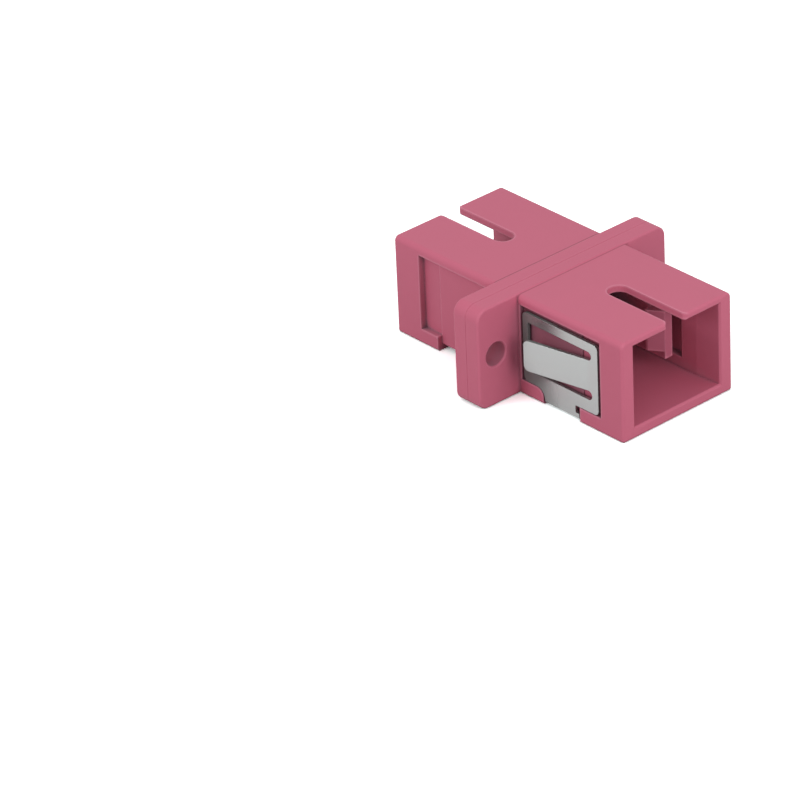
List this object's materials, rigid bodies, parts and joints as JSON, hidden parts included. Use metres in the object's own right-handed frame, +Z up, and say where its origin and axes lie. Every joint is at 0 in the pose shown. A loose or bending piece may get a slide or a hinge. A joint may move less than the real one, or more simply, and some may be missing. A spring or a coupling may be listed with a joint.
{
  "type": "sc fibre adapter",
  "caption": "Flanged simplex fibre adapter: welded plastic housing with a keyed port at each end, latch hooks, split ceramic alignment sleeve and a sprung steel panel clip.",
  "frame": {"origin": "on the optical axis, in the middle of the flange's thickness", "axes": "+X along the optical axis, out of the port on the clip's side; +Y along the flange; +Z up, on the side of the key slots"},
  "size_m": [0.028, 0.022, 0.0095],
  "materials": {
    "housing": "satin moulded plastic, heather violet",
    "insert": "satin moulded plastic, heather violet",
    "sleeve": "polished zirconia",
    "clip": "bright rolled stainless sheet"
  },
  "bodies": {
    "root": {"housing_clip_half": "housing", "housing_plain_half": "housing", "latch_insert_clip_side": "insert", "latch_insert_plain_side": "insert", "alignment_sleeve": "sleeve", "panel_clip": "clip"}
  },
  "joints": []
}
